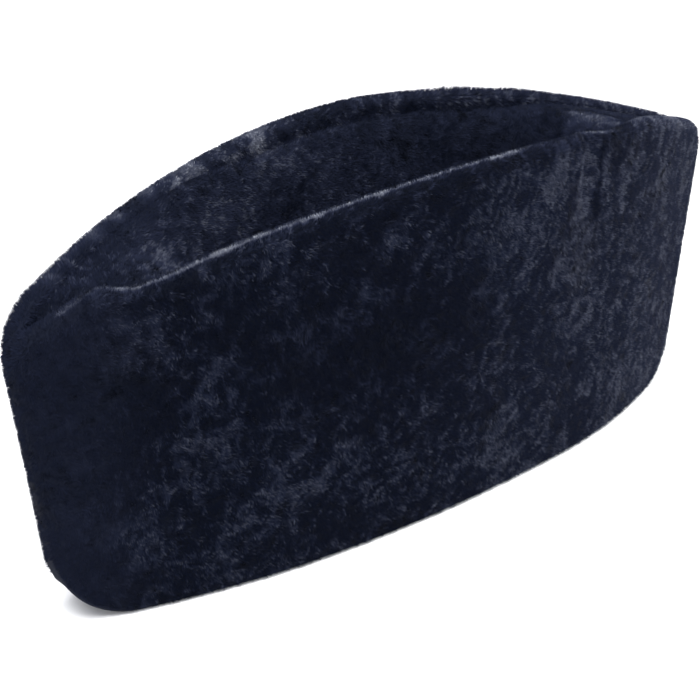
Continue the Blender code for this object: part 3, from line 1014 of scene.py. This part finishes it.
def flesh_side(name):
    """Dyed and buffed suede: a fine dry grain between two near blacks, drawn as coarse as it must be."""
    material, tree, shader = new_material(name)
    place = add_node(tree, "ShaderNodeTexCoord")
    grain = add_node(tree, "ShaderNodeTexNoise", values={"Scale": 1.0 / SUEDE_GRAIN, "Detail": 4.0},
                     links={"Vector": place.outputs["Object"]})
    ramp = add_node(tree, "ShaderNodeValToRGB", links={"Fac": grain.outputs["Fac"]})
    ramp.color_ramp.elements[0].color = linear("#141417")
    ramp.color_ramp.elements[1].color = linear("#2b2a2e")
    bump = add_node(tree, "ShaderNodeBump", values={"Strength": 0.5, "Distance": SUEDE_BUMP_DEPTH},
                    links={"Height": grain.outputs["Fac"]})
    tree.links.new(ramp.outputs["Color"], shader.inputs["Base Color"])
    tree.links.new(bump.outputs["Normal"], shader.inputs["Normal"])
    shader.inputs["Roughness"].default_value = 0.95
    shader.inputs["Specular IOR Level"].default_value = 0.2
    return material


suede = flesh_side("dyed flesh side of the pelt")


def line_with_suede(pelt, columns, first, last):
    """The bed on a pelt's faces, and suede on the rows of faces from first up to last."""
    pelt.data.materials.append(bed)
    pelt.data.materials.append(suede)
    row = np.arange(len(pelt.data.polygons)) // columns
    inside = (row >= first) & (row < last)
    pelt.data.polygons.foreach_set("material_index", inside.astype(np.int32))
    print(pelt.name, "has", int(inside.sum()), "faces of suede")


line_with_suede(band_pelt, band_grid.shape[1], fur_rows, len(band_grid) - 2)
line_with_suede(crown_pelt, CROWN_COLUMNS, CROWN_ROWS + 1, 2 * CROWN_ROWS + 1)

# %% [markdown]
# ## Floor
#
# The hat stands on white paper, rolled out so far that its edge never shows. Paper is matt, so a high
# roughness and no pattern are enough, and the contact shadow along the hem comes by itself.

# %% Floor
FLOOR_REACH = 6.0
corners = [(x * FLOOR_REACH, y * FLOOR_REACH, 0) for x, y in ((-1, -1), (1, -1), (1, 1), (-1, 1))]
floor_mesh = bpy.data.meshes.new("floor")
floor_mesh.from_pydata(corners, [], [(0, 1, 2, 3)])
floor = new_piece("floor", floor_mesh)
white, tree, shader = new_material("white paper sweep")
shader.inputs["Base Color"].default_value = linear("#fbfbfb")
shader.inputs["Roughness"].default_value = 0.9
floor_mesh.materials.append(white)
print("floor:", 2 * FLOOR_REACH, "m wide")

# %% [markdown]
# ## Light
#
# Black fur needs a lot of light from all sides, or it turns into a hole in the picture. A bright, even
# surround does most of it, as a white studio does. One large soft lamp overhead models the rim and
# the crushed patches, and a weaker one at the right opens up the right end.

# %% Surround and lamps
HAT_MIDDLE = (0.0, 0.0, 0.08)
world = bpy.data.worlds.new("studio")
bpy.context.scene.world = world
world.use_nodes = True
world.node_tree.nodes["Background"].inputs["Color"].default_value = linear("#f6f8ff")
world.node_tree.nodes["Background"].inputs["Strength"].default_value = 1.0


def softbox(name, place, target, width, height, power):
    """A rectangular lamp that faces its target: its own -Z axis is turned to target - place."""
    lamp = bpy.data.lights.new(name, "AREA")
    lamp.shape = "RECTANGLE"
    lamp.size, lamp.size_y, lamp.energy = width, height, power
    thing = new_piece(name, lamp)
    thing.location = place
    thing.rotation_euler = (Vector(target) - Vector(place)).to_track_quat("-Z", "Y").to_euler()
    print("lamp", name, power, "W")
    return thing


softbox("overhead", place=(-0.3, -0.35, 1.4), target=HAT_MIDDLE, width=1.4, height=1.0, power=40.0)
softbox("right_side", place=(1.3, -0.9, 0.9), target=(0.1, 0.0, 0.08), width=0.8, height=0.8, power=14.0)

# %% [markdown]
# ## Camera
#
# The camera looks down at the hat from the front left, close enough for the near end to look larger.
# Setting it by eye takes many tries, so its focal length in pixels and its angles were fitted to the
# hat's outline. A lens in millimetres is the sensor's width times that focal length over the
# picture's width in pixels.

# %% The camera
LENS_PIXELS, FRAME_PIXELS, SENSOR = 1320.9, 700.0, 36.0
ELEVATION, AZIMUTH, ROLL = np.radians([24.2566, -40.5542, 0.4643])
DISTANCE, NEAREST = 0.4607, 0.01
TARGET = Vector((-0.0293, MID_Y, 0.0584))
camera_data = bpy.data.cameras.new("camera")
camera_data.sensor_width = SENSOR
camera_data.lens = SENSOR * LENS_PIXELS / FRAME_PIXELS
camera_data.clip_start = NEAREST
camera = new_piece("camera", camera_data)
level_part = np.cos(ELEVATION)
towards = Vector((np.sin(AZIMUTH) * level_part, -np.cos(AZIMUTH) * level_part, np.sin(ELEVATION)))
camera.location = TARGET + DISTANCE * towards
turned = (-towards).to_track_quat("-Z", "Y").to_matrix() @ Matrix.Rotation(ROLL, 3, "Z")
camera.rotation_euler = turned.to_euler()
bpy.context.scene.camera = camera
bpy.context.scene.view_settings.view_transform = "Standard"
print("camera at", [round(v, 4) for v in camera.location])
